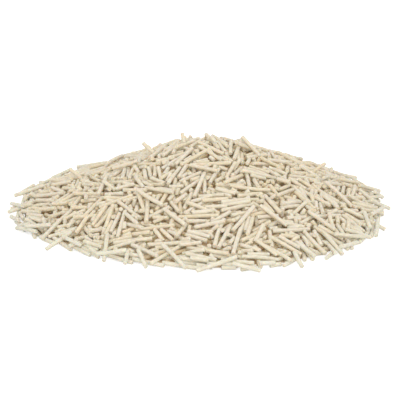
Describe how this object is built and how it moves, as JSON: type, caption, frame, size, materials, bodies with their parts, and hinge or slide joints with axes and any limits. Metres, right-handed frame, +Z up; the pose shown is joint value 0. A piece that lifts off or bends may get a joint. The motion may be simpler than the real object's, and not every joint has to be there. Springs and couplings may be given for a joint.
{
  "type": "heap of cat litter pellets",
  "caption": "Low round heap of poured cat litter, made of short, thin extruded plant-fibre rods that lie crossed and loose, with a ragged foot of rods pointing out.",
  "frame": {"origin": "on the ground under the crown of the heap, on its flat underside", "axes": "+Z up, -Y towards the front of the heap as the picture shows it, +X to the right of that view"},
  "size_m": [0.2001, 0.201, 0.0361],
  "materials": {
    "plant_fibre": "matte"
  },
  "bodies": {
    "root": {"packed_heap": "plant_fibre", "foot_pellet_01": "plant_fibre", "foot_pellet_02": "plant_fibre", "foot_pellet_03": "plant_fibre", "foot_pellet_04": "plant_fibre", "foot_pellet_05": "plant_fibre", "foot_pellet_06": "plant_fibre", "foot_pellet_07": "plant_fibre", "foot_pellet_08": "plant_fibre", "foot_pellet_09": "plant_fibre", "foot_pellet_10": "plant_fibre", "foot_pellet_11": "plant_fibre", "foot_pellet_12": "plant_fibre", "foot_pellet_13": "plant_fibre", "foot_pellet_14": "plant_fibre", "foot_pellet_15": "plant_fibre", "foot_pellet_16": "plant_fibre", "foot_pellet_17": "plant_fibre", "foot_pellet_18": "plant_fibre", "foot_pellet_19": "plant_fibre", "foot_pellet_20": "plant_fibre", "top_pellet_01": "plant_fibre", "top_pellet_02": "plant_fibre", "top_pellet_03": "plant_fibre", "top_pellet_04": "plant_fibre", "top_pellet_05": "plant_fibre", "top_pellet_06": "plant_fibre", "top_pellet_07": "plant_fibre", "top_pellet_08": "plant_fibre", "top_pellet_09": "plant_fibre", "top_pellet_10": "plant_fibre", "top_pellet_11": "plant_fibre", "top_pellet_12": "plant_fibre", "top_pellet_13": "plant_fibre", "top_pellet_14": "plant_fibre", "top_pellet_15": "plant_fibre", "top_pellet_16": "plant_fibre", "top_pellet_17": "plant_fibre", "top_pellet_18": "plant_fibre", "top_pellet_19": "plant_fibre", "top_pellet_20": "plant_fibre", "top_pellet_21": "plant_fibre", "top_pellet_22": "plant_fibre"}
  },
  "joints": []
}
